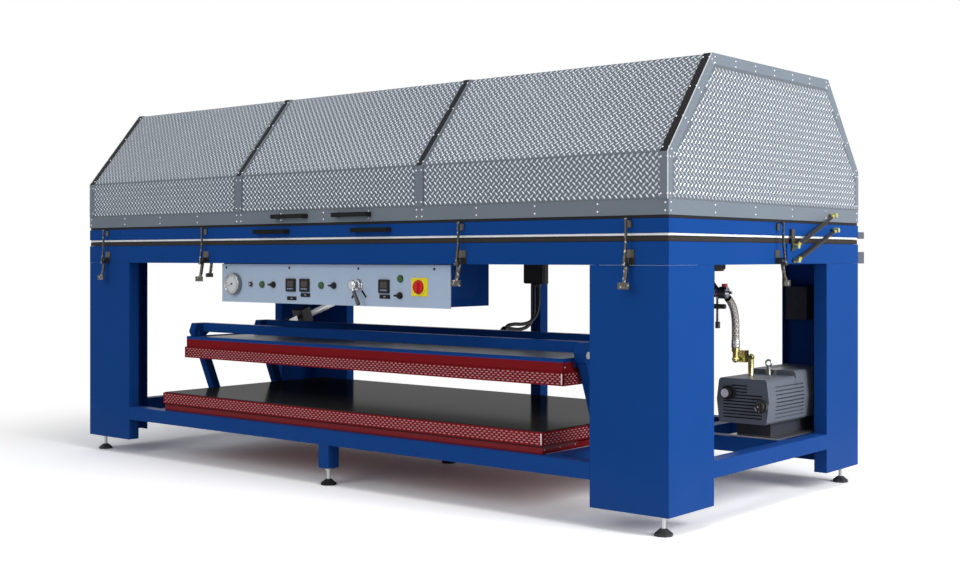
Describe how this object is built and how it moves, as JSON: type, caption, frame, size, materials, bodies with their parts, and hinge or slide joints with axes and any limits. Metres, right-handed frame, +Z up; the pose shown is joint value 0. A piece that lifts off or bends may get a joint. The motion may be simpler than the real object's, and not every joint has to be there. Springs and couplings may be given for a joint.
{
  "type": "vacuum forming press",
  "caption": "Large vacuum forming press on a blue stand: hinged membrane frame and tread-plate hood over a vacuum bed, swinging heating platens, control panel and pump.",
  "frame": {"origin": "centre of the footprint at the bottom of the whole machine, on the floor", "axes": "+X runs along the machine from left to right, -Y is the front with the control panel, +Z is up"},
  "size_m": [3.388, 1.604, 1.652],
  "materials": {
    "blue_paint": "satin",
    "red_paint": "satin",
    "grey_paint": "satin",
    "panel_paint": "satin",
    "pump_paint": "satin",
    "black_plate": "glossy",
    "tread_plate": "embossed",
    "bright_steel": "brushed",
    "chrome": "polished",
    "black_plastic": "matte",
    "red_plastic": "gloss",
    "dark_plastic": "matte",
    "black_rubber": "matte",
    "white_rubber": "matte",
    "braided_steel": "braided"
  },
  "bodies": {
    "stand": {"base_frame": "blue_paint", "end_frame_left": "blue_paint", "end_frame_right": "blue_paint", "foot_front_left": "black_rubber", "foot_front_right": "black_rubber", "foot_rear_left": "black_rubber", "foot_rear_right": "black_rubber", "bed_frame": "blue_paint", "bed_seal": "black_rubber", "control_box": "blue_paint", "control_panel": "panel_paint", "vacuum_gauge": "chrome", "junction_box": "dark_plastic", "platen_conduit": "black_rubber", "lower_platen": "black_plate", "lower_guard": "red_paint", "pump_housing": "pump_paint", "vacuum_hose": "braided_steel", "vacuum_manifold": "dark_plastic"},
    "front_swing": {"front_swing_frame": "blue_paint"},
    "rear_swing": {"rear_swing_frame": "blue_paint"},
    "upper_platen": {"upper_platen": "red_paint", "upper_guard": "red_paint"},
    "cylinder_barrel": {"cylinder_barrel": "bright_steel"},
    "cylinder_rod": {"cylinder_rod": "bright_steel"},
    "press_lid": {"membrane_frame": "blue_paint", "membrane_sheet": "white_rubber"},
    "hood": {"hood_skirt": "grey_paint", "hood_panel_left": "tread_plate", "hood_panel_middle": "tread_plate", "hood_panel_right": "tread_plate", "hood_end_left": "tread_plate", "hood_end_right": "tread_plate"},
    "selector_left": {"selector_left": "black_plastic"},
    "selector_middle": {"selector_middle": "black_plastic"},
    "selector_right": {"selector_right": "black_plastic"},
    "push_button": {"push_button": "black_plastic"},
    "isolator_knob": {"isolator_knob": "red_plastic"},
    "valve_lever": {"valve_lever": "black_plastic"},
    "pump_knob": {"pump_knob": "black_plastic"},
    "latch_lever_front_1": {"latch_lever_front_1": "bright_steel"},
    "latch_hook_front_1": {"latch_hook_front_1": "bright_steel"},
    "latch_lever_front_2": {"latch_lever_front_2": "bright_steel"},
    "latch_hook_front_2": {"latch_hook_front_2": "bright_steel"},
    "latch_lever_front_3": {"latch_lever_front_3": "bright_steel"},
    "latch_hook_front_3": {"latch_hook_front_3": "bright_steel"},
    "latch_lever_front_4": {"latch_lever_front_4": "bright_steel"},
    "latch_hook_front_4": {"latch_hook_front_4": "bright_steel"},
    "latch_lever_left": {"latch_lever_left": "bright_steel"},
    "latch_hook_left": {"latch_hook_left": "bright_steel"},
    "latch_lever_right": {"latch_lever_right": "bright_steel"},
    "latch_hook_right": {"latch_hook_right": "bright_steel"},
    "lid_spring_left_barrel": {"lid_spring_left_barrel": "black_plastic"},
    "lid_spring_left_rod": {"lid_spring_left_rod": "black_plastic"},
    "lid_spring_right_barrel": {"lid_spring_right_barrel": "black_plastic"},
    "lid_spring_right_rod": {"lid_spring_right_rod": "black_plastic"},
    "hood_spring_left_barrel": {"hood_spring_left_barrel": "black_plastic"},
    "hood_spring_left_rod": {"hood_spring_left_rod": "black_plastic"},
    "hood_spring_right_barrel": {"hood_spring_right_barrel": "black_plastic"},
    "hood_spring_right_rod": {"hood_spring_right_rod": "black_plastic"}
  },
  "joints": [
    {"name": "platen_swing", "type": "hinge", "parent": "stand", "child": "front_swing", "pos_m": [0, -0.395, 0.275], "axis": [1, 0, 0], "range_deg": [0, 40.4]},
    {"name": "rear_swing", "type": "hinge", "parent": "stand", "child": "rear_swing", "pos_m": [0, 0.005, 0.275], "axis": [1, 0, 0], "range_deg": [0, 40.6]},
    {"name": "platen_level", "type": "hinge", "parent": "front_swing", "child": "upper_platen", "pos_m": [0, -0.51, 0.575], "axis": [-1, 0, 0], "range_deg": [0, 40.6]},
    {"name": "cylinder_swing", "type": "hinge", "parent": "stand", "child": "cylinder_barrel", "pos_m": [-1.03, 0.682, 0.846], "axis": [1, 0, 0], "range_deg": [0, 1.28]},
    {"name": "cylinder_stroke", "type": "slide", "parent": "cylinder_barrel", "child": "cylinder_rod", "axis": [0, -0.9481, -0.3179], "range_m": [0, 0.23477]},
    {"name": "lid_hinge", "type": "hinge", "parent": "stand", "child": "press_lid", "pos_m": [0, 0.777, 1.002], "axis": [-1, 0, 0], "range_deg": [0, 50]},
    {"name": "hood_hinge", "type": "hinge", "parent": "press_lid", "child": "hood", "pos_m": [0, 0.751, 1.0765], "axis": [-1, 0, 0], "range_deg": [0, 50]},
    {"name": "lid_spring_left_swing", "type": "hinge", "parent": "stand", "child": "lid_spring_left_barrel", "pos_m": [-1.6736, 0.133, 0.927], "axis": [1, 0, 0], "range_deg": [0, 15.24]},
    {"name": "lid_spring_left_stroke", "type": "slide", "parent": "lid_spring_left_barrel", "child": "lid_spring_left_rod", "axis": [0, 0.9454, 0.326], "range_m": [0, 0.22376]},
    {"name": "lid_spring_right_swing", "type": "hinge", "parent": "stand", "child": "lid_spring_right_barrel", "pos_m": [1.6736, 0.133, 0.927], "axis": [1, 0, 0], "range_deg": [0, 15.24]},
    {"name": "lid_spring_right_stroke", "type": "slide", "parent": "lid_spring_right_barrel", "child": "lid_spring_right_rod", "axis": [0, 0.9454, 0.326], "range_m": [0, 0.22376]},
    {"name": "hood_spring_left_swing", "type": "hinge", "parent": "press_lid", "child": "hood_spring_left_barrel", "pos_m": [-1.6736, 0.128, 0.981], "axis": [1, 0, 0], "range_deg": [0, 15.78]},
    {"name": "hood_spring_left_stroke", "type": "slide", "parent": "hood_spring_left_barrel", "child": "hood_spring_left_rod", "axis": [0, 0.9366, 0.3505], "range_m": [0, 0.21492]},
    {"name": "hood_spring_right_swing", "type": "hinge", "parent": "press_lid", "child": "hood_spring_right_barrel", "pos_m": [1.6736, 0.128, 0.981], "axis": [1, 0, 0], "range_deg": [0, 15.78]},
    {"name": "hood_spring_right_stroke", "type": "slide", "parent": "hood_spring_right_barrel", "child": "hood_spring_right_rod", "axis": [0, 0.9366, 0.3505], "range_m": [0, 0.21492]},
    {"name": "latch_lever_front_1_turn", "type": "hinge", "parent": "stand", "child": "latch_lever_front_1", "pos_m": [-1.498, -0.778, 0.925], "axis": [-1, 0, 0], "range_deg": [0, 100]},
    {"name": "latch_hook_front_1_turn", "type": "hinge", "parent": "latch_lever_front_1", "child": "latch_hook_front_1", "pos_m": [-1.498, -0.794, 0.913], "axis": [-1, 0, 0], "range_deg": [-116.15, 0]},
    {"name": "latch_lever_front_2_turn", "type": "hinge", "parent": "stand", "child": "latch_lever_front_2", "pos_m": [-0.75306, -0.778, 0.925], "axis": [-1, 0, 0], "range_deg": [0, 100]},
    {"name": "latch_hook_front_2_turn", "type": "hinge", "parent": "latch_lever_front_2", "child": "latch_hook_front_2", "pos_m": [-0.75306, -0.794, 0.913], "axis": [-1, 0, 0], "range_deg": [-116.15, 0]},
    {"name": "latch_lever_front_3_turn", "type": "hinge", "parent": "stand", "child": "latch_lever_front_3", "pos_m": [0.75306, -0.778, 0.925], "axis": [-1, 0, 0], "range_deg": [0, 100]},
    {"name": "latch_hook_front_3_turn", "type": "hinge", "parent": "latch_lever_front_3", "child": "latch_hook_front_3", "pos_m": [0.75306, -0.794, 0.913], "axis": [-1, 0, 0], "range_deg": [-116.15, 0]},
    {"name": "latch_lever_front_4_turn", "type": "hinge", "parent": "stand", "child": "latch_lever_front_4", "pos_m": [1.498, -0.778, 0.925], "axis": [-1, 0, 0], "range_deg": [0, 100]},
    {"name": "latch_hook_front_4_turn", "type": "hinge", "parent": "latch_lever_front_4", "child": "latch_hook_front_4", "pos_m": [1.498, -0.794, 0.913], "axis": [-1, 0, 0], "range_deg": [-116.15, 0]},
    {"name": "latch_lever_left_turn", "type": "hinge", "parent": "stand", "child": "latch_lever_left", "pos_m": [-1.67, 0.012, 0.925], "axis": [0, 1, 0], "range_deg": [0, 100]},
    {"name": "latch_hook_left_turn", "type": "hinge", "parent": "latch_lever_left", "child": "latch_hook_left", "pos_m": [-1.686, 0.012, 0.913], "axis": [0, 1, 0], "range_deg": [-116.15, 0]},
    {"name": "latch_lever_right_turn", "type": "hinge", "parent": "stand", "child": "latch_lever_right", "pos_m": [1.67, 0.012, 0.925], "axis": [0, -1, 0], "range_deg": [0, 100]},
    {"name": "latch_hook_right_turn", "type": "hinge", "parent": "latch_lever_right", "child": "latch_hook_right", "pos_m": [1.686, 0.012, 0.913], "axis": [0, -1, 0], "range_deg": [-116.15, 0]},
    {"name": "selector_left_turn", "type": "hinge", "parent": "stand", "child": "selector_left", "pos_m": [-0.33, -0.735, 0.821], "axis": [0, -1, 0], "range_deg": [-45, 45]},
    {"name": "selector_middle_turn", "type": "hinge", "parent": "stand", "child": "selector_middle", "pos_m": [0.041, -0.735, 0.822], "axis": [0, -1, 0], "range_deg": [-45, 45]},
    {"name": "selector_right_turn", "type": "hinge", "parent": "stand", "child": "selector_right", "pos_m": [0.411, -0.735, 0.788], "axis": [0, -1, 0], "range_deg": [-45, 45]},
    {"name": "push_button_press", "type": "slide", "parent": "stand", "child": "push_button", "axis": [0, 1, 0], "range_m": [0, 0.004], "stiffness_N_per_m": 600},
    {"name": "isolator_turn", "type": "hinge", "parent": "stand", "child": "isolator_knob", "pos_m": [0.515, -0.735, 0.823], "axis": [0, -1, 0], "range_deg": [0, 90]},
    {"name": "valve_turn", "type": "hinge", "parent": "stand", "child": "valve_lever", "pos_m": [0.181, -0.735, 0.827], "axis": [0, -1, 0], "range_deg": [-61, 14]},
    {"name": "pump_knob_turn", "type": "hinge", "parent": "stand", "child": "pump_knob", "pos_m": [1.541, 0.107, 0.362], "axis": [0, -1, 0], "range_deg": [-150, 150]}
  ],
  "couplings": [
    {"joint": "rear_swing", "follows": "platen_swing", "ratio": 1},
    {"joint": "platen_level", "follows": "platen_swing", "ratio": 1},
    {"joint": "cylinder_swing", "follows": "platen_swing", "ratio": 0.031138},
    {"joint": "cylinder_stroke", "follows": "platen_swing", "m_per_rad": 0.32965},
    {"joint": "lid_spring_left_swing", "follows": "lid_hinge", "ratio": 0.3017},
    {"joint": "lid_spring_left_stroke", "follows": "lid_hinge", "m_per_rad": 0.25387},
    {"joint": "lid_spring_right_swing", "follows": "lid_hinge", "ratio": 0.3017},
    {"joint": "lid_spring_right_stroke", "follows": "lid_hinge", "m_per_rad": 0.25387},
    {"joint": "hood_spring_left_swing", "follows": "hood_hinge", "ratio": 0.3125},
    {"joint": "hood_spring_left_stroke", "follows": "hood_hinge", "m_per_rad": 0.24385},
    {"joint": "hood_spring_right_swing", "follows": "hood_hinge", "ratio": 0.3125},
    {"joint": "hood_spring_right_stroke", "follows": "hood_hinge", "m_per_rad": 0.24385},
    {"joint": "latch_hook_front_1_turn", "follows": "latch_lever_front_1_turn", "ratio": -1.15},
    {"joint": "latch_hook_front_2_turn", "follows": "latch_lever_front_2_turn", "ratio": -1.15},
    {"joint": "latch_hook_front_3_turn", "follows": "latch_lever_front_3_turn", "ratio": -1.15},
    {"joint": "latch_hook_front_4_turn", "follows": "latch_lever_front_4_turn", "ratio": -1.15},
    {"joint": "latch_hook_left_turn", "follows": "latch_lever_left_turn", "ratio": -1.15},
    {"joint": "latch_hook_right_turn", "follows": "latch_lever_right_turn", "ratio": -1.15}
  ]
}
